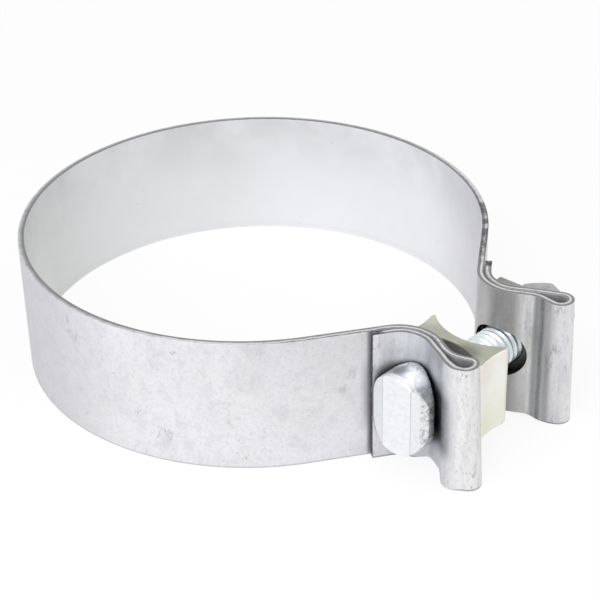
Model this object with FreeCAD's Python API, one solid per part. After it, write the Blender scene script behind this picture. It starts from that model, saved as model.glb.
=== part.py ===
import FreeCAD, Part
import math
import os

from FreeCAD import Vector

# Single-bolt flat band exhaust clamp, in millimetres.
# The ring axis is Z with the origin at the middle of the band's width.
# The two ears point along +X and the bolt lies along Y, its head on the -Y side.

# Folded band
band_width = 31.75          # 1 1/4 in strip
strip_thickness = 1.5
ring_radius = 53.2          # inside of the ring, as it stands open
ear_rise = 17.7             # straight stretch from the ring to the bolt bend
ear_opening = 22.3          # clear gap between the two bolt bends
bend_radius = 9.5           # bolt bend, measured on the gap side
nose_slope = 27.0           # degrees that the ear leans out past the bolt bend
nose_run = 3.2              # straight stretch after the bolt bend
crook_radius = 6.0          # reverse bend before the folded nose, gap side
nose_dip = 6.0              # degrees that the lip turns back towards the gap
lip_run = 2.6               # straight stretch from the crook to the nose
layer_gap = 0.15            # air between the ear and the flap folded over it
flap_run = 4.0              # flap past the bolt bend, along the ear
slot_width = 12.0
slot_length = 13.6
slot_shift = 0.9            # slot centre beyond the bolt axis, towards the nose
corner_margin = 0.01        # flat left between two full round corners

# Bolt
bolt_diameter = 9.525       # 3/8 in
thread_pitch = 1.5875       # 16 threads to the inch
head_width = 14.2
head_height = 20.6
head_corner = 6.9           # may be limited by the head's width
head_stand = 7.7            # front facet, out from the floor of the ear's hollow
facet_width = 6.9
facet_drop = 1.5            # how far the two side facets fall away
thread_past = 2.0           # bolt end beyond the nut
bolt_chamfer = 0.9
seat_clearance = 0.2        # head and spacer off the flap they sit on

# Spacer under the nut
spacer_width = 15.4
spacer_stand = 9.7          # outer face, out from the floor of the ear's hollow
spacer_corner = 1.2
hole_clearance = 0.25       # radial, round the bolt

# Nut
nut_across_flats = 14.29    # 9/16 in
nut_thickness = 8.33
nut_face_gap = 0.05
nut_bore_clearance = 0.05   # radial
nut_chamfer_angle = 30.0
nut_turn = 8.0              # degrees that its top corner stands past upright

# Reaction block between the ears
block_length = 19.7         # along X, outwards from the pipe
block_width = 10.8          # along Y, over the points
block_height = 19.4
block_waist = 2.6           # thinnest part, between the two ear hollows
block_point = 1.1           # blunt end of each of the four points
block_rest = -2.8           # where the block lies along the bolt
pipe_clearance = 0.1        # block's points off the ring's inside circle
pipe_hollow_depth = 0.6
outer_hollow_depth = 0.5
block_edge = 0.35

# Sizes that follow from the ones above
ring_line = ring_radius + strip_thickness / 2
bend_line = bend_radius - strip_thickness / 2
crook_line = crook_radius + strip_thickness / 2
layer_pitch = strip_thickness + layer_gap
bend_y = ear_opening / 2 + bend_radius
bolt_x = math.sqrt((ring_line + bend_line) ** 2 + ear_rise ** 2 - bend_y ** 2)
valley_radius = bend_line - layer_pitch - strip_thickness / 2
valley_floor = bend_y - valley_radius
head_crown = valley_floor + head_stand
spacer_face = valley_floor + spacer_stand
spacer_height = head_height
bolt_radius = bolt_diameter / 2
nut_start = spacer_face + nut_face_gap
bolt_end = nut_start + nut_thickness + thread_past


def walk(start, heading, moves):
    """Follow lines and turns end to end; angles in degrees, left turns positive."""
    steps = []
    point = Vector(*start)
    for move in moves:
        ahead = Vector(math.cos(math.radians(heading)), math.sin(math.radians(heading)), 0)
        left = Vector(-ahead.y, ahead.x, 0)
        if move[0] == "line":
            steps.append(("line", point, ahead, move[1]))
            point = point + ahead * move[1]
        else:
            radius, turn = move[1], move[2]
            side = 1 if turn > 0 else -1
            centre = point + left * (side * radius)
            first = heading - 90 * side
            steps.append(("turn", centre, radius, first, turn))
            last = math.radians(first + turn)
            point = centre + Vector(math.cos(last), math.sin(last), 0) * radius
            heading = heading + turn
    return steps


def side_edges(steps, offset):
    """Edges of the path moved to its left by offset, in order."""
    edges = []
    for step in steps:
        if step[0] == "line":
            _, point, ahead, length = step
            begin = point + Vector(-ahead.y, ahead.x, 0) * offset
            edges.append(Part.LineSegment(begin, begin + ahead * length).toShape())
        else:
            _, centre, radius, first, turn = step
            reach = radius - offset if turn > 0 else radius + offset
            angles = [math.radians(first + turn * share) for share in (0, 0.5, 1)]
            spots = [centre + Vector(math.cos(a), math.sin(a), 0) * reach for a in angles]
            edges.append(Part.Arc(*spots).toShape())
    return edges


def half_band_path():
    """Middle line of one half: back of the ring, ear, nose, flap."""
    ring_end = math.degrees(math.atan2(bend_y, bolt_x) + math.atan2(ear_rise, ring_line + bend_line))
    bend_turn = nose_slope + 90 - ring_end
    fold = nose_slope + nose_dip
    sin_fold = math.sin(math.radians(fold))
    cos_fold = math.cos(math.radians(fold))
    drop = crook_line * (1 - cos_fold) + lip_run * sin_fold
    nose_line = (layer_pitch + drop) / (1 + cos_fold)
    back_run = nose_run + (crook_line + nose_line) * sin_fold + lip_run * cos_fold
    return walk((-ring_line, 0, 0), 90, [
        ("turn", ring_line, -(180 - ring_end)),
        ("line", ear_rise),
        ("turn", bend_line, bend_turn),
        ("line", nose_run),
        ("turn", crook_line, -fold),
        ("line", lip_run),
        ("turn", nose_line, 180 + fold),
        ("line", back_run),
        ("turn", bend_line - layer_pitch, -bend_turn),
        ("line", flap_run),
    ])


def mirrored(edges):
    """The same edges on the other side of the XZ plane."""
    return [edge.mirror(Vector(0, 0, 0), Vector(0, 1, 0)) for edge in edges]


def plate(edges, height):
    """Solid from a closed plan outline, centred on the mid plane."""
    face = Part.Face(Part.Wire(Part.sortEdges(edges)[0]))
    face.translate(Vector(0, 0, -height / 2))
    return face.extrude(Vector(0, 0, height))


def round_bar(centre_x, radius, start_y, end_y):
    """Cylinder along the bolt's direction."""
    base = Vector(centre_x, start_y, 0)
    return Part.makeCylinder(radius, end_y - start_y, base, Vector(0, 1, 0))


def upright_outline(centre_x, width, height, corner, start_y, end_y):
    """Rounded rectangle seen along the bolt, run from start_y to end_y.

    The corner is limited to just under half of the shorter side.
    """
    half_w = width / 2
    half_h = height / 2
    corner = min(corner, min(half_w, half_h) - corner_margin)
    bar = Part.makeBox(width, end_y - start_y, height,
                       Vector(centre_x - half_w, start_y, -half_h))
    along_bolt = [edge for edge in bar.Edges
                  if abs(edge.tangentAt(edge.FirstParameter).y) > 0.9]
    return bar.makeFillet(corner, along_bolt)


def make_band():
    """Ring, ears and flaps in one strip, with a slot through each ear."""
    path = half_band_path()
    left = side_edges(path, strip_thickness / 2)
    right = side_edges(path, -strip_thickness / 2)
    end = Part.LineSegment(left[-1].lastVertex().Point, right[-1].lastVertex().Point).toShape()
    half = left + right + [end]
    band = plate(half + mirrored(half), band_width)
    reach = bend_y + 2 * bend_radius
    slots = upright_outline(bolt_x + slot_shift, slot_length, slot_width,
                            slot_width / 2, -reach, reach)
    return band.cut(slots)


def seat_profile(half_width, crown):
    """Plan outline that fills the ear's hollow from its floor out to crown.

    The crown is a list of points from the nose side to the ring side, given as
    distance from the bolt axis and distance from the ring's mid plane.
    """
    slope_in = math.radians(90 - math.degrees(
        math.atan2(bend_y, bolt_x) + math.atan2(ear_rise, ring_line + bend_line)))
    slope_out = math.radians(nose_slope)
    radius = valley_radius - seat_clearance
    hollow = [(radius * math.sin(a), bend_y - radius * math.cos(a))
              for a in (-slope_in, (slope_out - slope_in) / 2, slope_out)]
    ring_side = (-half_width,
                 hollow[0][1] + (half_width + hollow[0][0]) * math.tan(slope_in))
    nose_side = (half_width,
                 hollow[2][1] + (half_width - hollow[2][0]) * math.tan(slope_out))
    spots = [Vector(bolt_x + u, v, 0) for u, v in hollow]
    edges = [Part.Arc(*spots).toShape()]
    rim = [hollow[2], nose_side] + crown + [ring_side, hollow[0]]
    for (u1, v1), (u2, v2) in zip(rim, rim[1:]):
        edges.append(Part.LineSegment(Vector(bolt_x + u1, v1, 0),
                                      Vector(bolt_x + u2, v2, 0)).toShape())
    return edges


def make_bolt():
    """Long forged head with a half-round underside, on a plain shank."""
    half_w = head_width / 2
    side = head_crown - facet_drop
    crown = [(half_w, side), (facet_width / 2, head_crown),
             (-facet_width / 2, head_crown), (-half_w, side)]
    head = plate(seat_profile(half_w, crown), head_height)
    outline = upright_outline(bolt_x, head_width, head_height, head_corner, 0, head_crown + 1)
    head = head.common(outline).mirror(Vector(0, 0, 0), Vector(0, 1, 0))
    neck = -(bend_y - valley_radius + seat_clearance + 1)
    shank = round_bar(bolt_x, bolt_radius, neck, bolt_end - bolt_chamfer)
    tip = Part.makeCone(bolt_radius, bolt_radius - bolt_chamfer, bolt_chamfer,
                        Vector(bolt_x, bolt_end - bolt_chamfer, 0), Vector(0, 1, 0))
    return head.fuse([shank, tip]).removeSplitter()


def make_spacer():
    """Half-round bar that turns the curved ear into a flat seat for the nut."""
    half_w = spacer_width / 2
    crown = [(half_w, spacer_face), (-half_w, spacer_face)]
    body = plate(seat_profile(half_w, crown), spacer_height)
    outline = upright_outline(bolt_x, spacer_width, spacer_height, spacer_corner,
                              0, spacer_face + 1)
    hole = round_bar(bolt_x, bolt_radius + hole_clearance, 0, spacer_face + 1)
    return body.common(outline).cut(hole)


def make_nut():
    """Hexagon nut, its corners turned back at both faces."""
    corner = nut_across_flats / 2 / math.cos(math.radians(30))
    angles = [math.radians(nut_turn + 60 * k) for k in range(7)]
    spots = [Vector(bolt_x + corner * math.sin(a), nut_start, corner * math.cos(a))
             for a in angles]
    hexagon = Part.Face(Part.makePolygon(spots)).extrude(Vector(0, nut_thickness, 0))
    fall = (corner - nut_across_flats / 2) * math.tan(math.radians(nut_chamfer_angle))
    turned = round_bar(bolt_x, corner, nut_start + fall, nut_start + nut_thickness - fall)
    for face_y, way in ((nut_start + fall, -1), (nut_start + nut_thickness - fall, 1)):
        turned = turned.fuse(Part.makeCone(corner, nut_across_flats / 2, fall,
                                           Vector(bolt_x, face_y, 0), Vector(0, way, 0)))
    bore_radius = bolt_radius + nut_bore_clearance
    bore = round_bar(bolt_x, bore_radius, nut_start - 1, nut_start + nut_thickness + 1)
    nut = hexagon.common(turned).cut(bore)
    sink = thread_pitch / 2
    for face_y, way in ((nut_start, 1), (nut_start + nut_thickness, -1)):
        nut = nut.cut(Part.makeCone(bore_radius + sink, bore_radius, sink,
                                    Vector(bolt_x, face_y, 0), Vector(0, way, 0)))
    return nut


def make_block():
    """Four-pointed block, hollowed towards the pipe, both ears and the outside."""
    inner = ring_radius + pipe_clearance
    outer = inner + block_length
    middle = (inner + outer) / 2
    half_w = block_width / 2
    blunt = half_w - block_point
    lead = block_point * 0.3
    side = []
    for way in (1, -1):
        side.append([(inner + lead, way * half_w), (middle, way * block_waist / 2),
                     (outer - lead, way * half_w)])
    pipe_side = [(inner, blunt), (inner + pipe_hollow_depth, 0), (inner, -blunt)]
    outer_side = [(outer, blunt), (outer - outer_hollow_depth, 0), (outer, -blunt)]
    edges = []
    for arc in side + [pipe_side, outer_side]:
        spots = [Vector(x, block_rest + y, 0) for x, y in arc]
        edges.append(Part.Arc(*spots).toShape())
    for x, ear_x in ((inner, inner + lead), (outer, outer - lead)):
        for way in (1, -1):
            edges.append(Part.LineSegment(Vector(x, block_rest + way * blunt, 0),
                                          Vector(ear_x, block_rest + way * half_w, 0)).toShape())
    block = plate(edges, block_height)
    rims = [edge for edge in block.Edges if edge.Length < block_point * 1.2]
    block = block.makeChamfer(block_edge, rims)
    hole = round_bar(bolt_x, bolt_radius + hole_clearance,
                     block_rest - half_w, block_rest + half_w)
    return block.cut(hole)


def main():
    os.makedirs("parts", exist_ok=True)
    nodes = {
        "band": make_band(),
        "bolt": make_bolt(),
        "reaction_block": make_block(),
        "spacer": make_spacer(),
        "nut": make_nut(),
    }
    for name, shape in nodes.items():
        solids = shape.Solids
        if len(solids) != 1 or not shape.isValid():
            raise ValueError(name + " is not one sound solid")
        solids[0].exportStep("parts/" + name + ".step")
        box = solids[0].BoundBox
        print(name, round(solids[0].Volume, 1), "mm3",
              [round(v, 2) for v in (box.XMin, box.YMin, box.ZMin, box.XMax, box.YMax, box.ZMax)])


main()
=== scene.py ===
import math

import bpy
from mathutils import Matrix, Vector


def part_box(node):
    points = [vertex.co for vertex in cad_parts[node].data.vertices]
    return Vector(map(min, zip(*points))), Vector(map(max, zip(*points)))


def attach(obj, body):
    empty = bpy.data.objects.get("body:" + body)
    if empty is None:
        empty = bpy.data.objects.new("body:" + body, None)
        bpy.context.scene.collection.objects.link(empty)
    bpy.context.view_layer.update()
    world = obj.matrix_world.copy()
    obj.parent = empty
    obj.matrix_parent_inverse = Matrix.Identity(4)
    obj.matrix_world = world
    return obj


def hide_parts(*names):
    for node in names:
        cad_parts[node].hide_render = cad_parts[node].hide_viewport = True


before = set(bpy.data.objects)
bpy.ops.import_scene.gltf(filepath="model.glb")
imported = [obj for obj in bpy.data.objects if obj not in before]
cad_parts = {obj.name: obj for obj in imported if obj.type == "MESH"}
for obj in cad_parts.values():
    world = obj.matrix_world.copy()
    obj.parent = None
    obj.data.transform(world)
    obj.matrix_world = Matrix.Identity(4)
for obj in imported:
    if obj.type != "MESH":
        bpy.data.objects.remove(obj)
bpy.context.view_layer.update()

# Folded-ear exhaust clamp: one steel strip, a long-head bolt, a reaction block, a spacer and a nut
mm = 0.001

# Sizes that several pieces share, in millimetres
fit = dict(
    ringInside=53.2,
    earRise=17.7,
    bendGapSide=9.5,
    earOpening=22.3,
    noseSlope=27.0,
    strip=1.5,
    layerGap=0.15,
    shank=4.7625,
    pitch=1.5875,
    seat=0.2,          # air between the ear's hollow and what sits in it
    bore=0.25,         # air round the shank
)
ringLine = fit["ringInside"] + fit["strip"] / 2
bendLine = fit["bendGapSide"] - fit["strip"] / 2
layerPitch = fit["strip"] + fit["layerGap"]
bendY = fit["earOpening"] / 2 + fit["bendGapSide"]
boltX = math.sqrt((ringLine + bendLine) ** 2 + fit["earRise"] ** 2 - bendY ** 2)
ringEnd = math.degrees(math.atan2(bendY, boltX) + math.atan2(fit["earRise"], ringLine + bendLine))
rootSlope = 90 - ringEnd      # lean of the ear between the ring and the bolt, in degrees
hollowRadius = bendLine - layerPitch - fit["strip"] / 2 - fit["seat"]
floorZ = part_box("band")[0][2]


# Colour, pattern and shader helpers

def hexColour(code):
    # sRGB hex to the linear colour that a node takes
    parts = [int(code[k:k + 2], 16) / 255 for k in (1, 3, 5)]
    return tuple(c / 12.92 if c <= 0.04045 else ((c + 0.055) / 1.055) ** 2.4 for c in parts) + (1.0,)


def addNode(tree, kind, settings=None, links=None, out=0):
    # settings are node properties or sockets, a hex text is a colour, links feed sockets
    node = tree.nodes.new("ShaderNode" + kind)
    for key, value in (settings or {}).items():
        if isinstance(key, str) and hasattr(node, key):
            setattr(node, key, value)
        else:
            node.inputs[key].default_value = hexColour(value) if isinstance(value, str) else value
    for socket, source in (links or {}).items():
        tree.links.new(source, node.inputs[socket])
    return node.outputs[out] if len(node.outputs) else node


def newMaterial(name):
    material = bpy.data.materials.new(name)
    material.use_nodes = True
    tree = material.node_tree
    tree.nodes.clear()
    place = addNode(tree, "TexCoord", out="Object")
    return material, tree, place


def patches(tree, place, size, low, high, strength=1.0, stretch=(1, 1, 1), detail=3.0, lift=(0, 0, 0)):
    # patches about size millimetres wide; they start where the noise passes low and are full at high
    spread = addNode(tree, "Mapping", {"Scale": stretch, "Location": lift}, {"Vector": place})
    noise = addNode(tree, "TexNoise", {"Scale": 1000 / size, "Detail": detail, "Roughness": 0.6},
                    {"Vector": spread})
    return addNode(tree, "MapRange", {"interpolation_type": "SMOOTHSTEP", 1: low, 2: high, 4: strength},
                   {0: noise})


def between(tree, value, start, stop, soft, strength=1.0):
    # rises at start and falls again at stop, each over soft
    rise = addNode(tree, "MapRange", {"interpolation_type": "SMOOTHSTEP", 1: start - soft, 2: start + soft,
                                      4: strength}, {0: value})
    fall = addNode(tree, "MapRange", {"interpolation_type": "SMOOTHSTEP", 1: stop - soft, 2: stop + soft,
                                      3: 1.0, 4: 0.0}, {0: value})
    return addNode(tree, "Math", {"operation": "MULTIPLY"}, {0: rise, 1: fall})


def nearSpot(tree, place, spot, radius, strength=1.0):
    # strongest at a place on the object, gone at radius; both in millimetres
    away = addNode(tree, "VectorMath", {"operation": "DISTANCE", 1: tuple(c * mm for c in spot)},
                   {0: place}, "Value")
    return addNode(tree, "MapRange", {"interpolation_type": "SMOOTHSTEP", 1: radius * 0.35 * mm,
                                      2: radius * mm, 3: strength, 4: 0.0}, {0: away})


def both(tree, first, *others):
    # masks multiplied together
    for other in others:
        first = addNode(tree, "Math", {"operation": "MULTIPLY"}, {0: first, 1: other})
    return first


def creviceShade(tree, place, depth, strength=1.0, top=99):
    # painted shade where pieces come close together, darker where ambient occlusion finds them shut in;
    # nothing next to the floor, less above top
    height = addNode(tree, "SeparateXYZ", None, {0: place}, 2)
    clear = addNode(tree, "MapRange", {1: floorZ + 0.5 * mm, 2: floorZ + 5 * mm}, {0: height})
    under = addNode(tree, "MapRange", {1: top * mm, 2: (top + 6) * mm, 3: 1.0, 4: 0.35}, {0: height})
    openness = addNode(tree, "AmbientOcclusion", {"samples": 12, "Distance": depth * mm}, None, "AO")
    shut = addNode(tree, "MapRange", {"interpolation_type": "SMOOTHSTEP", 1: 0.75, 2: 0.22, 4: strength},
                   {0: openness})
    return both(tree, shut, clear, under)


def surface(material, tree, base, layers, rough, metallic, bump, bumpDepth):
    # layers are (mask, shade) pairs, each laid over what is below where its mask is white
    colour = None
    for mask, shade in layers:
        below = {6: colour} if colour else {}
        colour = addNode(tree, "Mix", {"data_type": "RGBA", 6: base, 7: shade}, {0: mask, **below}, 2)
    normal = addNode(tree, "Bump", {"Strength": 1.0, "Distance": bumpDepth * mm}, {"Height": bump})
    shader = addNode(tree, "BsdfPrincipled", {"Metallic": metallic},
                     {"Base Color": colour, "Roughness": rough, "Normal": normal})
    addNode(tree, "OutputMaterial", None, {"Surface": shader})
    return material


# Modelling helpers

def pickOnly(piece=None):
    # operators act on whatever is selected, so nothing else may be
    if bpy.context.mode != "OBJECT":
        bpy.ops.object.mode_set(mode="OBJECT")
    bpy.ops.object.select_all(action="DESELECT")
    if piece:
        piece.select_set(True)
        bpy.context.view_layer.objects.active = piece


def selectWhere(piece, test):
    # leaves the piece in edit mode with the matching vertices selected
    pickOnly(piece)
    bpy.ops.object.mode_set(mode="EDIT")
    bpy.ops.mesh.select_mode(type="VERT")
    bpy.ops.mesh.select_all(action="DESELECT")
    bpy.ops.object.mode_set(mode="OBJECT")
    for vertex in piece.data.vertices:
        vertex.select = test(vertex.co)
    bpy.ops.object.mode_set(mode="EDIT")


def applyModifier(piece, kind, **settings):
    pickOnly(piece)
    bpy.ops.object.modifier_add(type=kind)
    modifier = piece.modifiers[-1]
    for key, value in settings.items():
        setattr(modifier, key, value)
    bpy.ops.object.modifier_apply(modifier=modifier.name)


def combine(piece, tool, operation):
    applyModifier(piece, "BOOLEAN", operation=operation, solver="EXACT", object=tool)
    bpy.data.objects.remove(tool)


def pushBy(piece, name, amount, direction, weight, texture=None):
    # moves the surface by amount millimetres where weight says; weight gets a vertex
    group = piece.vertex_groups.new(name=name)
    for vertex in piece.data.vertices:
        group.add([vertex.index], max(0.0, min(1.0, weight(vertex))), "REPLACE")
    applyModifier(piece, "DISPLACE", direction=direction, strength=amount * mm, vertex_group=name,
                  texture=texture, texture_coords="LOCAL", mid_level=0.5 if texture else 0.0)
    piece.vertex_groups.remove(piece.vertex_groups[name])


def ease(value, start, stop):
    # 0 before start, 1 after stop, smooth between
    share = max(0.0, min(1.0, (value - start) / (stop - start)))
    return share * share * (3 - 2 * share)


def hump(value, span):
    # rises between the first two of four values and falls between the last two
    return ease(value, span[0], span[1]) * (1 - ease(value, span[2], span[3]))


def finishFaces(piece, index, test):
    # faces whose middle and normal pass the test take the piece's material of that index
    for face in piece.data.polygons:
        if test(face.center, face.normal):
            face.material_index = index


def smoothFaces(piece, angle=38):
    pickOnly(piece)
    bpy.ops.object.shade_smooth_by_angle(angle=math.radians(angle))
    applyModifier(piece, "WEIGHTED_NORMAL", keep_sharp=True, weight=50)


def startWall(name, x, y, height, heading=0.0):
    # one upright edge, to be drawn out into a wall
    pickOnly()
    bpy.ops.mesh.primitive_plane_add(size=height * mm, location=(x * mm, y * mm, 0),
                                     rotation=(math.radians(90), 0, 0))
    wall = bpy.context.object
    wall.name = name
    bpy.ops.object.transform_apply(location=True, rotation=True, scale=True)
    selectWhere(wall, lambda co: co.x > x * mm)
    bpy.ops.mesh.delete(type="VERT")
    bpy.ops.mesh.select_all(action="SELECT")
    bpy.ops.transform.translate(value=(height / 2 * mm, 0, 0))
    return wall, newPen(x, y, heading)


def newPen(x, y, heading, drawing=True):
    # marks keep how far along the wall each pair of vertices lies
    return dict(x=x, y=y, heading=heading, drawing=drawing, marks=[0.0])


def runTo(pen, x, y):
    dx, dy = x - pen["x"], y - pen["y"]
    if pen["drawing"]:
        bpy.ops.mesh.extrude_region_move(TRANSFORM_OT_translate={"value": (dx * mm, dy * mm, 0)})
    pen["marks"].append(pen["marks"][-1] + math.hypot(dx, dy))
    pen.update(x=x, y=y)


def runOn(pen, length):
    way = math.radians(pen["heading"])
    runTo(pen, pen["x"] + length * math.cos(way), pen["y"] + length * math.sin(way))


def turn(pen, radius, angle, steps):
    # left turns are positive; spin counts the other way
    way = math.radians(pen["heading"])
    side = 1 if angle > 0 else -1
    middleX = pen["x"] - side * radius * math.sin(way)
    middleY = pen["y"] + side * radius * math.cos(way)
    if pen["drawing"]:
        bpy.ops.mesh.spin(steps=steps, angle=-math.radians(angle),
                          center=(middleX * mm, middleY * mm, 0), axis=(0, 0, 1))
    sweep = math.radians(angle)
    for step in range(steps):
        pen["marks"].append(pen["marks"][-1] + radius * abs(sweep) / steps)
    dx, dy = pen["x"] - middleX, pen["y"] - middleY
    pen.update(x=middleX + dx * math.cos(sweep) - dy * math.sin(sweep),
               y=middleY + dx * math.sin(sweep) + dy * math.cos(sweep),
               heading=pen["heading"] + angle)


def follow(pen, moves):
    # a move is one length, drawn in short parts so that it can bend, or a radius, an angle and its steps
    for move in moves:
        if len(move) == 1:
            parts = math.ceil(move[0] / 1.2)
            for part in range(parts):
                runOn(pen, move[0] / parts)
        else:
            turn(pen, *move)


def bowTo(pen, x, y, sag, steps):
    # a shallow arc to a point; positive sag bulges to the left of the way there
    dx, dy = x - pen["x"], y - pen["y"]
    chord = math.hypot(dx, dy)
    radius = (chord ** 2 / 4 + sag ** 2) / (2 * abs(sag))
    sweep = 2 * math.degrees(math.asin(chord / 2 / radius))
    angle = -sweep if sag > 0 else sweep
    pen["heading"] = math.degrees(math.atan2(dy, dx)) - angle / 2
    turn(pen, radius, angle, steps)


def closeWall(wall):
    # seam merged, both ends capped
    bpy.ops.mesh.select_all(action="SELECT")
    bpy.ops.mesh.remove_doubles(threshold=0.02 * mm)
    for way in (1, -1):
        selectWhere(wall, lambda co: co.z * way > 0)
        bpy.ops.mesh.edge_face_add()
    bpy.ops.mesh.select_all(action="SELECT")
    bpy.ops.mesh.normals_make_consistent(inside=False)
    pickOnly(wall)


def roundBar(name, radius, fromY, toY, sides=64, x=None, stretchX=0.0, stretchUp=0.0, stretchDown=0.0):
    # a bar along the bolt; stretched, its ends become a long round-ended outline
    pickOnly()
    middle = boltX if x is None else x
    bpy.ops.mesh.primitive_cylinder_add(
        vertices=sides, radius=radius * mm, depth=(toY - fromY) * mm,
        location=(middle * mm, (fromY + toY) / 2 * mm, 0),
        rotation=(math.radians(90), math.radians(180 / sides), 0))
    bar = bpy.context.object
    bar.name = name
    bpy.ops.object.transform_apply(location=True, rotation=True, scale=True)
    pulls = [(lambda co: co.x > middle * mm, (stretchX, 0, 0)),
             (lambda co: co.x < middle * mm, (-stretchX, 0, 0)),
             (lambda co: co.z > 0, (0, 0, stretchUp)),
             (lambda co: co.z < 0, (0, 0, -stretchDown))]
    for test, pull in pulls:
        if any(pull):
            selectWhere(bar, test)
            bpy.ops.transform.translate(value=[c * mm for c in pull])
    pickOnly(bar)
    return bar


# The strip: ring, two ears, two folded-back flaps

band = dict(
    width=31.75,
    noseRun=3.2,
    crook=6.0,
    noseDip=6.0,
    lipRun=2.6,
    flapRun=4.0,
    edgeRound=0.13,
    punchReach=40.0,
    slotWidth=12.0,
    headSlot=dict(length=12.4, shift=-0.7),     # wholly behind the head
    nutSlot=dict(length=13.6, shift=0.9),
    # The folds are not quite square to the strip. A span is in x: where a bend starts, where it is
    # full, up to where, and where it has gone
    leanSpan=(72.0, 76.5),
    headLean=2.4,        # how far the noses' lower ends lie to the nut's side
    nutLean=1.5,
    headPush=0.9,        # the front nose as a whole
    bellySpan=(60.0, 65.0, 68.5, 72.0),
    headBelly=1.6,       # lower end of the front ear between the bolt and the nose
    liftSpan=(60.0, 66.0, 69.0, 76.0),
    headLift=1.5,        # the lower edge is not straight along the ears
    nutLift=0.7,
)


def halfStrip():
    # moves of one half, from the ring's back to the flap's end, and how far along each one ends
    fold = fit["noseSlope"] + band["noseDip"]
    foldSin, foldCos = math.sin(math.radians(fold)), math.cos(math.radians(fold))
    crookLine = band["crook"] + fit["strip"] / 2
    drop = crookLine * (1 - foldCos) + band["lipRun"] * foldSin
    noseLine = (layerPitch + drop) / (1 + foldCos)
    backRun = band["noseRun"] + (crookLine + noseLine) * foldSin + band["lipRun"] * foldCos
    bendTurn = fit["noseSlope"] + rootSlope
    moves = dict(
        ring=(ringLine, -(180 - ringEnd), 110),
        rise=(fit["earRise"],),
        bend=(bendLine, bendTurn, 22),
        run=(band["noseRun"],),
        crook=(crookLine, -fold, 9),
        lip=(band["lipRun"],),
        nose=(noseLine, 180 + fold, 26),
        back=(backRun,),
        flapBend=(bendLine - layerPitch, -bendTurn, 18),
        flap=(band["flapRun"],),
    )
    pen = newPen(-ringLine, 0, 90, drawing=False)
    ends = {}
    for name, move in moves.items():
        follow(pen, [move])
        ends[name] = pen["marks"][-1]
    return list(moves.values()), ends, pen


def leanEars(strip):
    # how far each part of the ears lies from where the drawing has it
    reach = band["width"] / 2 * mm

    def low(vertex):
        # 0 at the upper edge, 1 at the lower
        return (reach - vertex.co.z) / (2 * reach)

    def nose(vertex, side):
        return ease(vertex.co.x / mm, *band["leanSpan"]) * (vertex.co.y * side > 0)

    def belly(vertex):
        # clear of the block's points
        return hump(vertex.co.x / mm, band["bellySpan"]) * (vertex.co.y < 0)

    def lowerEdge(vertex, side):
        onEdge = vertex.co.y * side > 0 and vertex.co.z < -0.9 * reach
        return hump(vertex.co.x / mm, band["liftSpan"]) * onEdge

    for side, lean in ((-1, band["headLean"]), (1, band["nutLean"])):
        pushBy(strip, "lean", lean, "Y", lambda vertex: nose(vertex, side) * low(vertex))
    pushBy(strip, "shift", band["headPush"], "Y", lambda vertex: nose(vertex, -1))
    pushBy(strip, "belly", band["headBelly"], "Y", lambda vertex: belly(vertex) * low(vertex))
    for side, lift in ((-1, band["headLift"]), (1, band["nutLift"])):
        pushBy(strip, "lift", lift, "Z", lambda vertex: lowerEdge(vertex, side))


def foldBand():
    moves, ends, tip = halfStrip()
    strip, pen = startWall("clampBand", tip["x"], -tip["y"], band["width"], heading=180 - tip["heading"])
    follow(pen, moves[::-1] + moves)
    bpy.ops.mesh.select_all(action="SELECT")
    bpy.ops.mesh.normals_make_consistent(inside=False)
    pickOnly(strip)
    for material in (aluminisedStrip(ends), slitEdge(ends), punchedWall()):
        strip.data.materials.append(material)
    sheetCount = len(strip.data.vertices)
    applyModifier(strip, "SOLIDIFY", thickness=fit["strip"] * mm, offset=0.0, use_even_offset=True,
                  material_offset_rim=1)
    # the strip's own map: metres along it from the ring's back, and 1 on the side towards the pipe
    marks, vertices = pen["marks"], strip.data.vertices
    back = min(range(sheetCount), key=lambda index: abs(marks[index // 2] - ends["flap"]))
    firstInside = vertices[back].co.length < vertices[back + sheetCount].co.length
    ownMap = strip.data.uv_layers.new(name="alongStrip")
    for loop in strip.data.loops:
        side, index = divmod(loop.vertex_index, sheetCount)
        inside = 1.0 if (side == 0) == firstInside else 0.0
        ownMap.data[loop.index].uv = ((marks[index // 2] - ends["flap"]) * mm, inside)
    applyModifier(strip, "BEVEL", width=band["edgeRound"] * mm, segments=2, limit_method="ANGLE",
                  angle_limit=math.radians(50))
    for side, cut in ((-1, band["headSlot"]), (1, band["nutSlot"])):
        fromY, toY = sorted((side, side * band["punchReach"]))
        slot = roundBar("slotPunch", band["slotWidth"] / 2, fromY, toY, x=boltX + cut["shift"],
                        stretchX=(cut["length"] - band["slotWidth"]) / 2)
        for material in strip.data.materials:
            slot.data.materials.append(material)
        finishFaces(slot, 2, lambda middle, normal: True)     # the cut leaves the punched wall
        combine(strip, slot, "DIFFERENCE")
    leanEars(strip)
    smoothFaces(strip, 32)
    return strip


# Pieces that fill the ears' hollows: the bolt's head and the nut's spacer

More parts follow.
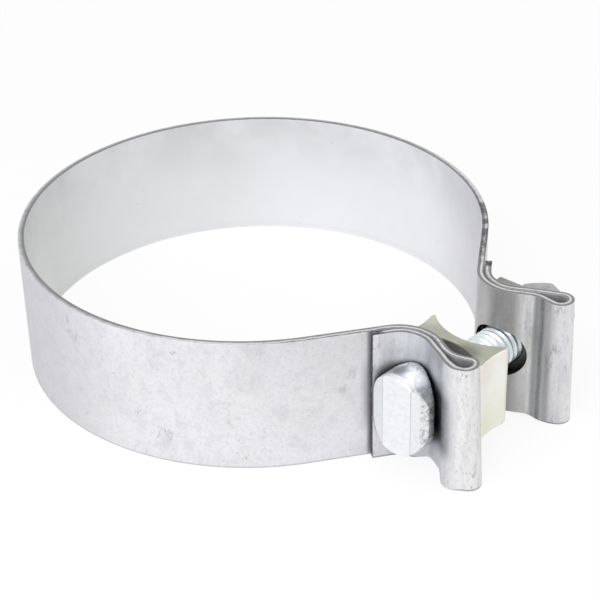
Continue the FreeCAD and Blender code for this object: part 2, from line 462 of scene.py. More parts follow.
def hollowFiller(name, side, halfWidth, crown, height):
    # side is -1 for the head's ear and 1 for the nut's; crown lists points from the nose side back,
    # each as its place towards the nose from the bolt and its height over the clamp's middle plane
    rootTan = math.tan(math.radians(rootSlope))
    noseTan = math.tan(math.radians(fit["noseSlope"]))
    startU = -hollowRadius * math.sin(math.radians(rootSlope))
    startV = bendY - hollowRadius * math.cos(math.radians(rootSlope))
    endU = hollowRadius * math.sin(math.radians(fit["noseSlope"]))
    endV = bendY - hollowRadius * math.cos(math.radians(fit["noseSlope"]))
    cornerV = startV + (halfWidth + startU) * rootTan
    filler, pen = startWall(name, boltX - halfWidth, side * cornerV, height)
    runTo(pen, boltX + startU, side * startV)
    pen["heading"] = -side * rootSlope
    turn(pen, hollowRadius, side * (rootSlope + fit["noseSlope"]), 28)
    runTo(pen, boltX + halfWidth, side * (endV + (halfWidth - endU) * noseTan))
    for u, v in crown:
        runTo(pen, boltX + u, side * v)
    runTo(pen, boltX - halfWidth, side * cornerV)
    closeWall(filler)
    return filler


bolt = dict(
    headWidth=14.2,
    headHeight=20.6,
    topShort=0.9,        # the forging's top end is a little short
    crown=22.0,
    facetOut=4.2,        # the middle facet reaches this far towards the nose
    facetIn=3.45,        # and this far towards the ring
    outFall=3.0,         # how far the side facets fall back
    inFall=1.2,
    headEdge=0.3,
    spare=1.0,           # the head starts this much larger and is cut to its outline
    cutTo=8.0,           # the cut ends this far from the clamp's middle plane
    draft=0.97,          # the front outline is a little smaller than the base
    faceDrop=0.1,        # and sits lower
    forging=0.16,        # depth of the trimmed unevenness on the side wall
    wallSpan=(12.5, 14.0, 20.2, 21.2),     # in y, towards the head
    skin=0.2,            # size of the faces that the forging is made of
    plainTo=5.0,         # the shank is plain from the head to here
    end=34.38,
    endChamfer=0.9,
    rootDepth=0.75,
    rootOverlap=0.12,    # how deep the thread's ridge sits in the rod
    ridgeBase=0.97,      # widths of the ridge as shares of the pitch
    ridgeTip=0.17,
    threadSteps=36,
)


def threadRidge(name, root, crest, fromY, turns):
    # one flank-to-flank section, wound along the shank
    pickOnly()
    bpy.ops.mesh.primitive_plane_add(size=1)
    ridge = bpy.context.object
    ridge.name = name
    inner, outer = (root - bolt["rootOverlap"]) * mm, crest * mm
    baseHalf, tipHalf = (fit["pitch"] * bolt[share] / 2 * mm for share in ("ridgeBase", "ridgeTip"))
    for wayX, edgeX, half in ((-1, inner, baseHalf), (1, outer, tipHalf)):
        for wayY in (-1, 1):
            selectWhere(ridge, lambda co: abs(co.x - wayX * 0.5) < 0.01 and abs(co.y - wayY * 0.5) < 0.01)
            bpy.ops.transform.translate(value=(edgeX - wayX * 0.5, wayY * (half - 0.5), 0))
    pickOnly(ridge)
    applyModifier(ridge, "SCREW", axis="Y", screw_offset=fit["pitch"] * mm, iterations=turns,
                  steps=bolt["threadSteps"], render_steps=bolt["threadSteps"], use_merge_vertices=False)
    bpy.ops.object.mode_set(mode="EDIT")
    bpy.ops.mesh.select_all(action="SELECT")
    bpy.ops.mesh.remove_doubles(threshold=0.001 * mm)
    bpy.ops.mesh.fill_holes(sides=0)
    bpy.ops.mesh.normals_make_consistent(inside=False)
    bpy.ops.transform.translate(value=(boltX * mm, fromY * mm, 0))
    pickOnly(ridge)
    return ridge


def makeBolt():
    half, front, spare = bolt["headWidth"] / 2, bolt["crown"], bolt["spare"]
    outer, inner = front - bolt["outFall"], front - bolt["inFall"]
    crown = [(half + spare, outer - spare), (half, outer), (bolt["facetOut"], front),
             (-bolt["facetIn"], front), (-half, inner), (-half - spare, inner - 0.4 * spare)]
    head = hollowFiller("clampBolt", -1, half + spare, crown, bolt["headHeight"] + 2 * spare)
    straight = (bolt["headHeight"] - bolt["headWidth"]) / 2
    outline = roundBar("headOutline", half, -front - spare, -bolt["cutTo"], sides=72,
                       stretchUp=straight - bolt["topShort"], stretchDown=straight)
    selectWhere(outline, lambda co: co.y < -front * mm)
    bpy.ops.transform.resize(value=(bolt["draft"], 1, bolt["draft"]))
    bpy.ops.transform.translate(value=(0, 0, -bolt["faceDrop"] * mm))
    pickOnly(outline)
    combine(head, outline, "INTERSECT")
    applyModifier(head, "BEVEL", width=bolt["headEdge"] * mm, segments=2, limit_method="ANGLE",
                  angle_limit=math.radians(30))
    applyModifier(head, "REMESH", mode="VOXEL", voxel_size=bolt["skin"] * mm)
    scarred = bpy.data.textures.new("trimScars", "CLOUDS")
    scarred.noise_scale = 1.1 * mm
    pushBy(head, "trimmed", bolt["forging"], "NORMAL",
           lambda vertex: hump(-vertex.co.y / mm, bolt["wallSpan"])
           * (1 - ease(abs(vertex.normal.y), 0.5, 0.9)), scarred)
    print("bolt head done")
    root = fit["shank"] - bolt["rootDepth"]
    turns = int((bolt["end"] - bolt["plainTo"]) / fit["pitch"]) + 2
    rod = roundBar("threadRod", root, bolt["plainTo"], bolt["end"] + 1, sides=72)
    combine(rod, threadRidge("threadRidge", root, fit["shank"], bolt["plainTo"], turns), "UNION")
    chamferFrom = bolt["end"] - bolt["endChamfer"]
    envelope = roundBar("rodEnvelope", fit["shank"] - 0.02, bolt["plainTo"] - 1, chamferFrom, sides=96)
    selectWhere(envelope, lambda co: co.y > (chamferFrom - 0.1) * mm)
    bpy.ops.mesh.extrude_region_move(TRANSFORM_OT_translate={"value": (0, bolt["endChamfer"] * mm, 0)})
    shrink = 1 - bolt["endChamfer"] / fit["shank"]
    bpy.ops.transform.resize(value=(shrink, 1, shrink))
    pickOnly(envelope)
    combine(rod, envelope, "INTERSECT")
    plain = roundBar("plainShank", fit["shank"], -front + 6, bolt["plainTo"] + 0.6, sides=96)
    combine(rod, plain, "UNION")
    combine(head, rod, "UNION")
    head.data.materials.append(clearZinc())
    smoothFaces(head, 34)
    return head


spacer = dict(width=15.4, height=20.6, face=24.0, edge=0.5)


def makeSpacer():
    half = spacer["width"] / 2
    bar = hollowFiller("nutSpacer", 1, half, [(half, spacer["face"]), (-half, spacer["face"])],
                       spacer["height"])
    applyModifier(bar, "BEVEL", width=spacer["edge"] * mm, segments=3, limit_method="ANGLE",
                  angle_limit=math.radians(30))
    bore = roundBar("spacerBore", fit["shank"] + fit["bore"], 0, spacer["face"] + 2, sides=72)
    combine(bar, bore, "DIFFERENCE")
    bar.data.materials.append(drawnZinc())
    smoothFaces(bar)
    return bar


nut = dict(
    acrossFlats=14.29,
    thick=8.33,
    start=24.05,
    turn=8.0,            # degrees that its top corner stands past upright
    chamfer=30.0,
    blank=0.995,         # the blank it is turned from, as a share of its corners
    edge=0.12,
    crestAir=0.07,       # air between its thread and the bolt's
    rootAir=0.2,
    threadTurns=9,
    sink=0.75,           # countersink, beyond the shank
    sinkDepth=0.5,
    sinkTaper=0.84,
)


def makeNut():
    corner = nut["acrossFlats"] / 2 / math.cos(math.radians(30))
    fall = (corner - nut["acrossFlats"] / 2) * math.tan(math.radians(nut["chamfer"]))
    end = nut["start"] + nut["thick"]
    hexagon = roundBar("hexNut", corner, nut["start"], end, sides=6)
    bpy.ops.object.mode_set(mode="EDIT")
    bpy.ops.mesh.select_all(action="SELECT")
    bpy.ops.transform.rotate(value=math.radians(30 - nut["turn"]), orient_axis="Y",
                             center_override=(boltX * mm, nut["start"] * mm, 0))
    pickOnly(hexagon)
    applyModifier(hexagon, "BEVEL", width=nut["edge"] * mm, segments=2, limit_method="ANGLE",
                  angle_limit=math.radians(40))
    turned = roundBar("turnedBlank", corner * nut["blank"], nut["start"] + fall, end - fall, sides=96)
    for way, faceY in ((-1, nut["start"] + fall), (1, end - fall)):
        selectWhere(turned, lambda co: abs(co.y - faceY * mm) < 0.01 * mm)
        bpy.ops.mesh.extrude_region_move(TRANSFORM_OT_translate={"value": (0, way * fall * mm, 0)})
        inward = nut["acrossFlats"] / 2 / corner
        bpy.ops.transform.resize(value=(inward, 1, inward))
    pickOnly(turned)
    combine(hexagon, turned, "INTERSECT")
    root = fit["shank"] - bolt["rootDepth"]
    tap = roundBar("threadTap", root + nut["crestAir"] + nut["rootAir"], nut["start"] - 1, end + 1,
                   sides=72)
    before = int((nut["start"] - bolt["plainTo"]) / fit["pitch"]) - 1
    ridge = threadRidge("tapRidge", root + nut["rootAir"], fit["shank"] + nut["crestAir"],
                        bolt["plainTo"] + before * fit["pitch"], nut["threadTurns"])
    combine(tap, ridge, "UNION")
    combine(hexagon, tap, "DIFFERENCE")
    for way, faceY in ((1, nut["start"]), (-1, end)):
        sink = roundBar("threadSink", fit["shank"] + nut["sink"], faceY - nut["sinkDepth"],
                        faceY + nut["sinkDepth"], sides=72)
        selectWhere(sink, lambda co: (co.y - faceY * mm) * way > 0)
        bpy.ops.transform.resize(value=(nut["sinkTaper"], 1, nut["sinkTaper"]))
        pickOnly(sink)
        combine(hexagon, sink, "DIFFERENCE")
    hexagon.data.materials.append(nutZinc())
    smoothFaces(hexagon, 28)
    return hexagon


# Reaction block between the ears

block = dict(
    inner=52.3,          # the points towards the pipe, a little proud of the ring's circle
    outer=73.0,
    width=10.8,
    height=19.4,
    waist=2.6,
    point=1.3,           # each point is blunt: how wide, and how far its corner lies in
    pointLead=0.39,
    rest=-2.8,
    pipeHollow=0.6,
    outerHollow=0.5,
    edge=0.38,
)


def makeBlock():
    inner, outer = block["inner"], block["outer"]
    half, rest = block["width"] / 2, block["rest"]
    blunt, lead = half - block["point"], block["pointLead"]
    earSag = half - block["waist"] / 2
    wall, pen = startWall("reactionBlock", inner, rest - blunt, block["height"])
    bowTo(pen, inner, rest + blunt, -block["pipeHollow"], 10)
    runTo(pen, inner + lead, rest + half)
    bowTo(pen, outer - lead, rest + half, -earSag, 40)
    runTo(pen, outer, rest + blunt)
    bowTo(pen, outer, rest - blunt, -block["outerHollow"], 10)
    runTo(pen, outer - lead, rest - half)
    bowTo(pen, inner + lead, rest - half, -earSag, 40)
    runTo(pen, inner, rest - blunt)
    closeWall(wall)
    applyModifier(wall, "BEVEL", width=block["edge"] * mm, segments=3, limit_method="ANGLE",
                  angle_limit=math.radians(35))
    bore = roundBar("blockBore", fit["shank"] + fit["bore"], rest - half - 1, rest + half + 1, sides=72)
    combine(wall, bore, "DIFFERENCE")
    for material in (yellowZinc(), sawnEnd()):
        wall.data.materials.append(material)
    finishFaces(wall, 1, lambda middle, normal: abs(normal.z) > 0.9)
    smoothFaces(wall)
    return wall


# Finishes

def alongStrip(tree):
    # millimetres along the strip, the same without its sign, and 1 on the side towards the pipe
    ownMap = addNode(tree, "UVMap", {"uv_map": "alongStrip"})
    parts = addNode(tree, "SeparateXYZ", None, {0: ownMap}).node
    along = addNode(tree, "Math", {"operation": "MULTIPLY", 1: 1000.0}, {0: parts.outputs[0]})
    reach = addNode(tree, "Math", {"operation": "ABSOLUTE"}, {0: along})
    return along, reach, parts.outputs[1]


# Place, radius, grain and strength of each mark left by handling and by the press
stains = [
    # the ring
    ((21.1, -50.5, -9.1), 3.6, 0.7, 0.6),
    ((34.6, -42.4, -4.4), 3.5, 1.3, 0.35),
    ((-1.5, -54.7, 11.0), 5.0, 1.0, 0.5),
    ((24.0, -49.1, 13.0), 1.3, 0.4, 0.7),
    ((38.5, -38.8, 13.5), 1.3, 0.4, 0.7),
    ((15.5, -52.5, -4.8), 1.6, 0.5, 0.8),
    ((-0.3, -54.7, -5.0), 1.5, 0.5, 0.6),
    ((36.0, -41.2, -12.3), 2.0, 0.5, 0.7),
    ((49.3, -23.6, 4.1), 5.0, 1.8, 0.35),
    # the front nose, then the back one
    ((76.8, -18.6, 14.9), 1.8, 0.6, 1.0),
    ((77.3, -15.4, -15.6), 1.9, 0.6, 1.0),
    ((76.9, -15.8, -11.3), 2.4, 0.6, 0.7),
    ((77.9, -14.2, 1.0), 3.2, 0.6, 0.6),
    ((77.0, 15.3, 2.0), 6.5, 1.2, 0.7),
    ((77.7, 16.8, -11.0), 2.6, 0.9, 0.6),
    ((76.5, 15.6, -15.6), 2.6, 0.7, 0.9),
    ((71.0, 15.2, -15.4), 2.6, 0.8, 0.9),
    ((77.6, 18.7, 11.0), 2.3, 0.6, 0.8),
    ((76.0, 14.4, 14.8), 2.4, 0.7, 0.7),
    ((69.5, 13.6, 9.0), 3.0, 0.9, 0.5),
    # the flap over the head
    ((67.5, -16.8, 14.0), 2.6, 0.8, 0.6),
    ((54.3, -20.9, 14.5), 3.6, 0.9, 0.75),
    ((54.0, -20.9, 7.5), 2.0, 0.6, 0.8),
    ((54.2, -20.8, -13.8), 2.2, 0.7, 0.9),
    ((53.9, -20.6, -3.0), 1.4, 0.6, 0.8),
    ((59.0, -20.0, 14.8), 2.6, 0.9, 0.45),
]


def aluminisedStrip(ends):
    # hot-dip aluminised mild steel, rolled: pale satin grey, softly clouded, scuffed where it was bent
    material, tree, place = newMaterial("aluminisedSteelStrip")
    along, reach, inside = alongStrip(tree)
    rise, bend, run, lip = (ends[name] for name in ("rise", "bend", "run", "lip"))
    nose, back, flapBend, flap = (ends[name] for name in ("nose", "back", "flapBend", "flap"))
    outside = addNode(tree, "Math", {"operation": "SUBTRACT", 0: 1.0}, {1: inside})
    height = addNode(tree, "SeparateXYZ", None, {0: place}, 2)
    upper = addNode(tree, "MapRange", {1: 0.0, 2: 15 * mm}, {0: height})
    lower = addNode(tree, "MapRange", {1: 4 * mm, 2: -13 * mm}, {0: height})
    under = between(tree, height, -60 * mm, 3.5 * mm, 2.5 * mm)
    middle = between(tree, height, -7.5 * mm, 8.0 * mm, 2.5 * mm)
    beside = between(tree, height, -5.5 * mm, 7.0 * mm, 1.6 * mm)
    pipeSide = both(tree, inside, between(tree, reach, -300, rise, 4))
    gapSide = both(tree, inside, between(tree, reach, rise, lip, 4))
    flapSide = both(tree, inside, between(tree, reach, lip, 300, 2))
    ears = between(tree, reach, rise, 400, 3)
    notPipe = addNode(tree, "Math", {"operation": "SUBTRACT", 0: 1.0}, {1: pipeSide})

    def length(side, measure, start, stop, soft, strength, *others):
        # a length of one side of the strip
        return both(tree, side, between(tree, measure, start, stop, soft, strength), *others)

    def wearAndShade(side, size, low, high, strength, stretch=(1, 1, 1), detail=3.0, lift=(0, 0, 0)):
        # patches on one side of the strip, for wear marks and for painted shade
        return both(tree, side, patches(tree, place, size, low, high, strength, stretch, detail, lift))

    def lowerEdgeShade(strength):
        # painted shade along the lower edge
        return addNode(tree, "MapRange", {1: -15.3 * mm, 2: -15.7 * mm, 4: strength}, {0: height})

    layers = [
        (patches(tree, place, 24, 0.4, 0.62, 0.3), "#d2d2d6"),
        (patches(tree, place, 34, 0.45, 0.65, 0.4, lift=(3, 1, 2)), "#ececf0"),
        # side towards the pipe: light and smooth, with painted shade over the left and middle of the ring,
        # at the back ear and in patches towards the top
        (wearAndShade(pipeSide, 42, 0.05, 0.45, 0.7), "#ecedef"),
        (length(pipeSide, along, -90, -8, 16, 0.42), "#bcbdb9"),
        (length(pipeSide, along, -8, 46, 14, 0.22), "#c6c7c4"),
        (length(pipeSide, along, 108, 400, 16, 0.5), "#b9b7c0"),
        (both(tree, upper, wearAndShade(pipeSide, 16, 0.35, 0.65, 0.4)), "#bcbdbc"),
        # outer side: painted shade, lavender, at the back, a painted highlight at the front, painted shade
        # again towards the ear
        (length(outside, along, -84, 60, 14, 0.55), "#b7b6bf"),
        (length(outside, along, -62, 60, 9, 0.3), "#a9a8b2"),
        (length(outside, along, -132, -96, 14, 0.25), "#ebebee"),
        (length(outside, along, -175, -122, 9, 0.3, upper), "#bcbcbd"),
        (length(outside, along, -300, -138, 6, 0.1), "#c6c6c7"),
        # gap side of the ears: painted shade round the bend, then a painted highlight line and painted
        # shade in the valleys before the nose
        (length(gapSide, reach, rise - 4, bend + 0.5, 3, 0.6), "#9a9a96"),
        (length(gapSide, reach, rise + 7.6, bend + 1.3, 1.5, 0.7), "#858583"),
        (length(gapSide, reach, bend + 1, run + 1.6, 0.8, 0.45, lower), "#93928a"),
        (length(gapSide, reach, run + 1.0, run + 1.5, 0.5, 0.6), "#f4f4f2"),
        (length(gapSide, reach, run + 1.9, lip + 0.3, 0.5, 0.8), "#7f8284"),
        (length(gapSide, reach, run + 3.7, run + 4.7, 0.5, 0.85), "#44474a"),
        (length(gapSide, reach, run + 5.4, lip, 0.4, 0.7, under), "#64676a"),
        (length(gapSide, reach, lip, lip + 3.4, 1.0, 0.5, lower), "#a2a1a4"),
        # the noses, a painted highlight
        (between(tree, reach, lip + 3.2, nose - 0.8, 1.2, 0.55), "#f1f1f0"),
        # flaps: painted shade in the crease and in the hollow, a painted shadow beside the head, and a
        # painted highlight along the flap's end
        (length(flapSide, reach, nose + 1.5, back + 0.5, 2.0, 0.6), "#9ba0ac"),
        (length(flapSide, reach, back, flapBend - 3, 2.5, 0.4), "#b2b7c4"),
        (length(flapSide, reach, nose + 0.3, back + 1, 1.6, 0.95, middle), "#707177"),
        (length(flapSide, reach, nose + 2.4, back + 1, 1.0, 0.95, beside), "#141517"),
        (length(flapSide, reach, flapBend - 4, flap + 5, 2.0, 0.25), "#c4c4cb"),
        (length(flapSide, reach, flap - 0.7, flap + 5, 0.5, 0.5), "#e9e9e6"),
        # painted shadow beside the flap's end, and softer painted shade round it at mid height
        (length(outside, reach, flap - 60.0, flap - 58.6, 0.4, 0.7), "#77777b"),
        (length(outside, reach, 149.2, 151.5, 1.0, 0.5, middle), "#9794a3"),
        # fine grain, specks and handling scuffs, mostly on the outer side, and painted shade along the
        # lower edge
        (wearAndShade(notPipe, 0.9, 0.40, 0.70, 0.22, detail=5), "#b9b8bc"),
        (wearAndShade(ears, 1.1, 0.42, 0.68, 0.32, (1, 1, 0.14), 6), "#b4b3b6"),
        (wearAndShade(ears, 0.6, 0.56, 0.72, 0.5, (1, 1, 0.5), 4), "#9c9b9e"),
        (both(tree, outside, lowerEdgeShade(0.6)), "#98979b"),
        (both(tree, ears, lowerEdgeShade(0.75)), "#58585c"),
        (wearAndShade(outside, 2.6, 0.46, 0.70, 0.3, (1, 1, 0.8), 8), "#bbbabf"),
        (wearAndShade(outside, 0.5, 0.58, 0.72, 0.36, detail=2), "#a6a5a9"),
        (wearAndShade(outside, 0.8, 0.74, 0.79, 0.4, detail=1), "#88878c"),
        (wearAndShade(gapSide, 1.6, 0.46, 0.70, 0.5, (1, 1, 0.14), 5), "#a09f9c"),
        (wearAndShade(notPipe, 1.3, 0.735, 0.78, 0.5, detail=2), "#8f8e94"),
        (wearAndShade(pipeSide, 2.2, 0.70, 0.78, 0.3), "#a2a19c"),
        (wearAndShade(notPipe, 3.2, 0.70, 0.735, 0.4, (1, 1, 0.10), 4, (5, 2, 0)), "#a3a2a6"),
    ]
    for spot, radius, grain, strength in stains:
        mark = wearAndShade(notPipe, grain, 0.5, 0.68, 1.0, (1, 1, 0.4), 5)
        layers.append((both(tree, mark, nearSpot(tree, place, spot, radius, strength)), "#8b8b8f"))
    # painted shade in crevices where pieces come close together
    layers.append((creviceShade(tree, place, 5.0, 0.93, 8), "#141518"))
    grain = patches(tree, place, 3.0, 0.3, 0.7, 1.0, detail=4)
    rough = addNode(tree, "MapRange", {3: 0.34, 4: 0.47}, {0: grain})
    bump = patches(tree, place, 0.7, 0.0, 1.0, 1.0, detail=5)
    return surface(material, tree, "#dededf", layers, rough, 0.55, bump, 0.006)


def slitEdge(ends):
    # slit edge of the strip: a bright line with a dark one beside it, and one on each side at the ears
    material, tree, place = newMaterial("slitSteelEdge")
    along, reach, inside = alongStrip(tree)
    wander = patches(tree, place, 3.0, 0.3, 0.7, 0.14, detail=4)
    line = addNode(tree, "Math", {"operation": "ADD"}, {0: inside, 1: wander})
    ears = between(tree, reach, ends["ring"] - 8, 400, 6)
    far = between(tree, reach, -300, 100, 12)
    back = between(tree, along, 122, 150, 4)
    tip = between(tree, reach, ends["flap"] - 2.4, 400, 0.6)
    layers = [
        (patches(tree, place, 1.2, 0.5, 0.68, 0.5, detail=4), "#9b9b9d"),
        (addNode(tree, "MapRange", {1: 0.56, 2: 0.70, 4: 0.85}, {0: line}), "#6a6a6b"),
        (both(tree, ears, addNode(tree, "MapRange", {1: 0.38, 2: 0.22, 4: 0.85}, {0: line})), "#66666a"),
        (both(tree, far, addNode(tree, "MapRange", {1: 0.1, 2: 0.5, 4: 0.7}, {0: line})), "#818184"),
        (both(tree, back, patches(tree, place, 3.4, 0.36, 0.56, 0.8)), "#3d3d40"),
        (both(tree, tip, patches(tree, place, 0.9, 0.25, 0.5, 0.9)), "#2f2f32"),
        # painted shade in crevices
        (creviceShade(tree, place, 2.0, 0.8), "#1d1d20"),
    ]
    grit = patches(tree, place, 0.5, 0.3, 0.7)
    rough = addNode(tree, "MapRange", {3: 0.38, 4: 0.6}, {0: grit})
    return surface(material, tree, "#cfcfd0", layers, rough, 0.6, grit, 0.02)


def punchedWall():
    # punched wall of the slots: bare steel and torn, coloured dark as painted shade inside the slots
    material, tree, place = newMaterial("punchedSteelWall")
    grit = patches(tree, place, 0.6, 0.35, 0.65)
    rough = addNode(tree, "MapRange", {3: 0.5, 4: 0.7}, {0: grit})
    # dark grit, then painted shade in crevices
    layers = [(grit, "#38383b"), (creviceShade(tree, place, 4.0, 0.9), "#0c0c0e")]
    return surface(material, tree, "#4d4d50", layers, rough, 0.5, grit, 0.03)


def clearZinc():
    # forged steel with clear zinc plate: bright bluish white, scarred where the forging was trimmed
    material, tree, place = newMaterial("clearZincPlate")
    axes = addNode(tree, "SeparateXYZ", None, {0: place}).node.outputs
    folds = [between(tree, axes[0], (boltX + x - 0.05) * mm, (boltX + x + 0.05) * mm, 0.1 * mm, strength)
             for x, strength in ((bolt["facetOut"], 1.2), (-bolt["facetIn"], 1.6))]
    front = addNode(tree, "MapRange", {1: -20.0 * mm, 2: -20.6 * mm}, {0: axes[1]})
    wall = between(tree, axes[1], -20.5 * mm, -12.8 * mm, 0.35 * mm)
    face = between(tree, axes[1], -60 * mm, -20.7 * mm, 0.3 * mm)
    scars = patches(tree, place, 1.3, 0.42, 0.62, 0.85, (1, 0.3, 1), 5)
    glints = patches(tree, place, 0.5, 0.5, 0.62, 0.7, detail=4)
    topWall = both(tree, wall, addNode(tree, "MapRange", {1: 3 * mm, 2: 9 * mm}, {0: axes[2]}))
    thread = between(tree, axes[1], 3.0 * mm, 60 * mm, 0.5 * mm)
    unthreaded = addNode(tree, "MapRange", {3: 1.0, 4: 0.25}, {0: thread})
    layers = [
        (patches(tree, place, 5, 0.4, 0.65, 0.4), "#e2e3e5"),
        (patches(tree, place, 0.8, 0.45, 0.68, 0.3, detail=5), "#cccdcf"),
        (face, "#e9eaec"),
        (both(tree, face, patches(tree, place, 0.8, 0.46, 0.66, 0.35, detail=5)), "#d0d2d3"),
        # painted shade along the two folds between the front facets
        (both(tree, front, folds[0]), "#b0b4b5"),
        (both(tree, front, folds[1]), "#b0b4b5"),
        (wall, "#dfe1e1"),
        (both(tree, wall, scars), "#929694"),
        # painted glints on the trimmed wall
        (both(tree, wall, glints), "#f6f7f8"),
        # painted shade in patches high on the wall, then a painted highlight near the top
        (both(tree, topWall, patches(tree, place, 4, 0.38, 0.6, 0.8)), "#a3a9b2"),
        (nearSpot(tree, place, (64.5, -18.5, 9.2), 3.4, 0.95), "#f8f9fa"),
        (both(tree, wall, nearSpot(tree, place, (60.0, -18.5, 9.4), 2.6, 0.8)), "#6f7376"),
        (thread, "#f4f9fb"),
        (both(tree, thread, patches(tree, place, 6, 0.3, 0.7, 0.6)), "#d9e8ec"),
        # painted shade in crevices, faint on the thread
        (both(tree, creviceShade(tree, place, 2.6, 0.85), unthreaded), "#121316"),
    ]
    clouds = patches(tree, place, 6, 0.3, 0.7)
    rough = addNode(tree, "MapRange", {3: 0.3, 4: 0.42}, {0: clouds})
    skin = patches(tree, place, 0.6, 0.2, 0.8, 0.3, detail=4)
    bump = addNode(tree, "Math", {"operation": "ADD"}, {0: both(tree, wall, scars), 1: skin})
    return surface(material, tree, "#eceef0", layers, rough, 0.55, bump, 0.05)


def yellowZinc():
    # extruded steel with yellow chromate zinc plate: pale cream with faint green and pink bloom
    material, tree, place = newMaterial("yellowZincPlate")
    axes = addNode(tree, "SeparateXYZ", None, {0: place}).node.outputs
    shadedHeadSide = addNode(tree, "MapRange", {1: (block["rest"] - 0.4) * mm, 2: (block["rest"] - 1.1) * mm,
                                          4: 0.88}, {0: axes[1]})
    notFront = addNode(tree, "MapRange", {1: 72.5 * mm, 2: 72.2 * mm}, {0: axes[0]})
    layers = [
        (patches(tree, place, 14, 0.42, 0.62, 0.4), "#e3e6d2"),
        (patches(tree, place, 9, 0.52, 0.68, 0.4, lift=(2, 4, 1)), "#f0ded4"),
        (nearSpot(tree, place, (73, -5.0, 7.5), 5.0, 0.5), "#f2d6cb"),
        (nearSpot(tree, place, (73, 2.0, 8.5), 4.0, 0.5), "#f2d9cf"),
        (nearSpot(tree, place, (73, -7.0, -9.0), 8.0, 0.5), "#e4e6c6"),
        (patches(tree, place, 20, 0.45, 0.6, 0.5, lift=(7, 1, 3)), "#f0f3ef"),
        (patches(tree, place, 1.0, 0.66, 0.74, 0.3), "#b9b9a6"),
        # painted shade on the side that faces the head's ear, then painted shade in crevices
        (both(tree, shadedHeadSide, notFront), "#4c4c42"),
        (creviceShade(tree, place, 8.5, 0.9), "#16160f"),
    ]
    clouds = patches(tree, place, 4, 0.3, 0.7)
    rough = addNode(tree, "MapRange", {3: 0.32, 4: 0.44}, {0: clouds})
    skin = patches(tree, place, 0.6, 0.0, 1.0)
    return surface(material, tree, "#f4f3ea", layers, rough, 0.5, skin, 0.006)


def sawnEnd():
    # sawn end of the extruded bar with thin yellow zinc: dull olive grey with fine saw lines
    material, tree, place = newMaterial("sawnZincEnd")
    saw = patches(tree, place, 0.8, 0.3, 0.7, 1.0, (0.08, 1, 1), 2)
    layers = [
        (patches(tree, place, 7, 0.35, 0.65, 0.5), "#a9aa9d"),
        (patches(tree, place, 2.5, 0.5, 0.7, 0.3), "#cfcfc1"),
        (addNode(tree, "MapRange", {4: 0.22}, {0: saw}), "#8a8a7d"),
        # painted shadow beside the head's ear on the top end; painted shade in crevices last
        (nearSpot(tree, place, (67.0, -5.6, 9.7), 4.6, 0.8), "#77776f"),
        (nearSpot(tree, place, (53, 1.5, 9.7), 5.0, 0.7), "#c9cabb"),
        (creviceShade(tree, place, 4.0, 0.85), "#1a1a14"),
    ]
    rough = addNode(tree, "MapRange", {3: 0.42, 4: 0.55}, {0: saw})
    return surface(material, tree, "#b3b3a4", layers, rough, 0.5, saw, 0.015)


def drawnZinc():
    # drawn steel bar with thin zinc: dull grey
    material, tree, place = newMaterial("drawnZincBar")
    clouds = patches(tree, place, 5, 0.3, 0.7, detail=4)
    layers = [
        (clouds, "#9d9d99"),
        (patches(tree, place, 1.0, 0.55, 0.7, 0.4), "#75756f"),
        # painted shade in crevices
        (creviceShade(tree, place, 4.0, 0.9), "#151514"),
    ]
    rough = addNode(tree, "MapRange", {3: 0.4, 4: 0.52}, {0: clouds})
    skin = patches(tree, place, 0.5, 0.0, 1.0)
    return surface(material, tree, "#8a8a86", layers, rough, 0.6, skin, 0.01)


def nutZinc():
    # cold-formed steel nut with clear zinc plate: mid grey, softly clouded
    material, tree, place = newMaterial("zincPlatedNut")
    clouds = patches(tree, place, 3, 0.35, 0.65, detail=4)
    layers = [
        (clouds, "#b1b2b2"),
        (patches(tree, place, 0.9, 0.52, 0.7, 0.4), "#7c7d7e"),
        # painted shade in crevices
        (creviceShade(tree, place, 3.0, 0.85), "#161617"),
    ]
    rough = addNode(tree, "MapRange", {3: 0.3, 4: 0.42}, {0: clouds})
    skin = patches(tree, place, 0.5, 0.0, 1.0)
    return surface(material, tree, "#959697", layers, rough, 0.6, skin, 0.01)


def dress(piece, node, body):
    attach(piece, body)
    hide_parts(node)
    print(piece.name, len(piece.data.polygons), "faces")


# Camera, floor and light

studio = dict(
    cameraSpot=(251.38, -250.07, 209.63),
    cameraTurn=(58.56, 1.159, 42.755),
    lens=103.6,
    floorSize=3.0,
    floorGlow=0.88,      # share of the floor that shows as plain white
    fill=0.6,            # how much light the white room gives
    softboxes=[
        # azimuth, elevation, distance, size, power, tint
        (-72, 36, 0.62, 0.5, 2.6, "#f8f8fd"),
        (20, 70, 0.62, 0.6, 0.9, "#fffdf7"),
    ],
)


def setCamera():
    bpy.ops.object.camera_add(location=[c * mm for c in studio["cameraSpot"]],
                              rotation=[math.radians(a) for a in studio["cameraTurn"]])
    camera = bpy.context.object
    camera.data.lens = studio["lens"]
    camera.data.sensor_width = 36
    camera.data.clip_start = 0.01
    bpy.context.scene.camera = camera


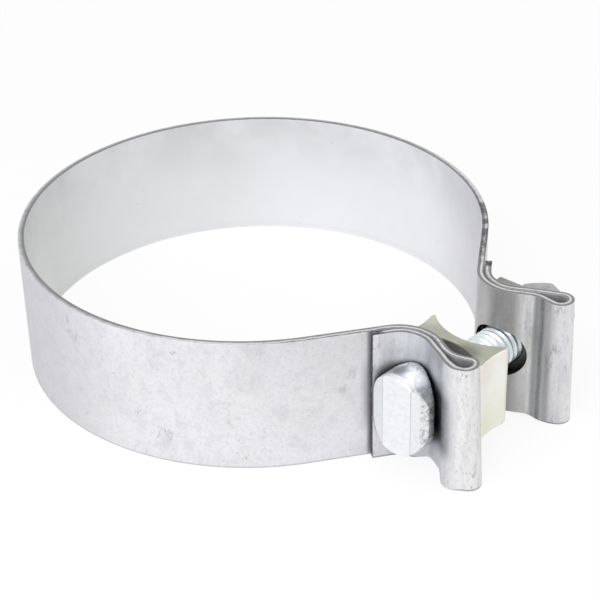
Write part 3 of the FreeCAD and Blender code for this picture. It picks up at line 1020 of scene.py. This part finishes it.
def seenDirectly(tree, share):
    # share for the camera and for reflections, so that metal shows the same white room, else 0
    rays = addNode(tree, "LightPath").node.outputs
    direct = addNode(tree, "Math", {"operation": "MAXIMUM"},
                     {0: rays["Is Camera Ray"], 1: rays["Is Glossy Ray"]})
    direct = addNode(tree, "Math", {"operation": "MAXIMUM"}, {0: direct, 1: rays["Is Transmission Ray"]})
    return addNode(tree, "Math", {"operation": "MULTIPLY", 1: share}, {0: direct})


def makeRoom():
    pickOnly()
    bpy.ops.mesh.primitive_plane_add(size=studio["floorSize"], location=(0, 0, floorZ))
    floor = bpy.context.object
    floor.name = "studioFloor"
    bpy.ops.object.transform_apply(location=True, rotation=True, scale=True)
    paper = bpy.data.materials.new("whitePaper")
    paper.use_nodes = True
    tree = paper.node_tree
    tree.nodes.clear()
    matte = addNode(tree, "BsdfDiffuse", {"Color": "#f4f4f4"})
    glow = addNode(tree, "Emission", {"Color": "#ffffff", "Strength": 1.0})
    direct = seenDirectly(tree, studio["floorGlow"])
    shown = addNode(tree, "MixShader", None, {0: direct, 1: matte, 2: glow})
    addNode(tree, "OutputMaterial", None, {"Surface": shown})
    floor.data.materials.append(paper)
    world = bpy.data.worlds.new("whiteRoom")
    bpy.context.scene.world = world
    world.use_nodes = True
    tree = world.node_tree
    tree.nodes.clear()
    strength = addNode(tree, "Math", {"operation": "ADD", 1: studio["fill"]},
                       {0: seenDirectly(tree, 1 - studio["fill"])})
    light = addNode(tree, "Background", {"Color": "#ffffff"}, {"Strength": strength})
    addNode(tree, "OutputWorld", None, {"Surface": light})
    for index, (azimuth, elevation, away, size, power, tint) in enumerate(studio["softboxes"]):
        a, e = math.radians(azimuth), math.radians(elevation)
        spot = (away * math.cos(e) * math.cos(a), away * math.cos(e) * math.sin(a), away * math.sin(e))
        bpy.ops.object.light_add(type="AREA", location=spot,
                                 rotation=(0, math.radians(90) - e, a))
        lamp = bpy.context.object
        lamp.name = "softbox%d" % (index + 1)
        lamp.data.size = size
        lamp.data.energy = power
        lamp.data.color = hexColour(tint)[:3]
    bpy.context.scene.view_settings.view_transform = "Standard"


setCamera()
makeRoom()
print("studio done")

dress(foldBand(), "band", "clamp")
dress(makeBolt(), "bolt", "clamp")
dress(makeBlock(), "reaction_block", "block")
dress(makeSpacer(), "spacer", "spacer")
dress(makeNut(), "nut", "nut")
pickOnly()

print("all pieces done")
